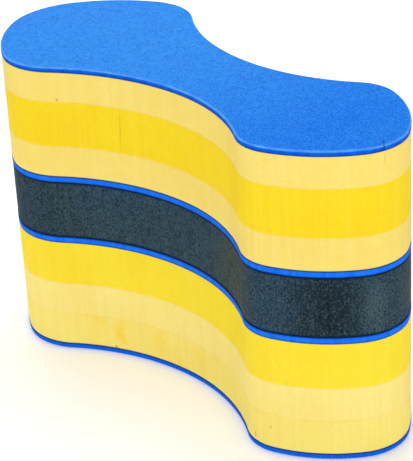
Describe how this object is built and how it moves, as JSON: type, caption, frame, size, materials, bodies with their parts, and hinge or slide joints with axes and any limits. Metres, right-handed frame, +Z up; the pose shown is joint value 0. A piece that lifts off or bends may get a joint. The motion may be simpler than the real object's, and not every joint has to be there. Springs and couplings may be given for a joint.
{
  "type": "pull buoy",
  "caption": "Hourglass swimming float of laminated foam sheets in blue, yellow, cream and slate, held between the thighs.",
  "frame": {"origin": "centre of the bottom face's box, on the surface that the float stands on", "axes": "+X along the float towards its small end, +Y across it, +Z up through the stack of sheets"},
  "size_m": [0.23, 0.0962, 0.1417],
  "materials": {
    "foam_blue": "matte closed-cell foam",
    "foam_dark_blue": "matte closed-cell foam",
    "foam_cream": "matte closed-cell foam, cut face",
    "foam_yellow": "matte closed-cell foam, cut face",
    "foam_slate": "matte closed-cell foam, speckled cut face",
    "glue": "thin flexible adhesive film"
  },
  "bodies": {
    "root": {"top_skin": "foam_blue", "upper_cream_sheet": "foam_cream", "upper_yellow_sheet": "foam_yellow", "middle_cream_sheet": "foam_cream", "upper_blue_stripe": "foam_blue", "slate_core": "foam_slate", "lower_blue_stripe": "foam_blue", "lower_yellow_sheet": "foam_yellow", "lower_cream_sheet": "foam_cream", "base_cream_sheet": "foam_cream", "bottom_skin": "foam_dark_blue", "glue_film_1": "glue", "glue_film_2": "glue", "glue_film_3": "glue", "glue_film_4": "glue", "glue_film_5": "glue", "glue_film_6": "glue", "glue_film_7": "glue", "glue_film_8": "glue", "glue_film_9": "glue", "glue_film_10": "glue"}
  },
  "joints": []
}
